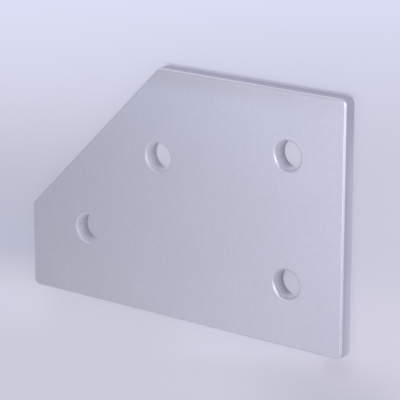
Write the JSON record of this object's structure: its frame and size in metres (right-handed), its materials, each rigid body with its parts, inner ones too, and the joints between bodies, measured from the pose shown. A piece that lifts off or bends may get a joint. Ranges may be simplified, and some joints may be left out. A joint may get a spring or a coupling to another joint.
{
  "type": "extrusion joining plate",
  "caption": "Flat aluminium plate with a slanted side, which ties a 45 degree brace to a straight slotted 40 mm profile with M8 screws.",
  "frame": {"origin": "on the back face, midway between the two holes that lie over the straight profile", "axes": "+Z out of the front face, +Y along the straight profile, +X towards the straight profile's outer side; the plate lies on its back face"},
  "size_m": [0.12, 0.08, 0.005],
  "materials": {
    "anodised_aluminium": "tumbled and clear anodised, satin"
  },
  "bodies": {
    "root": {"joining_plate": "anodised_aluminium"}
  },
  "joints": []
}
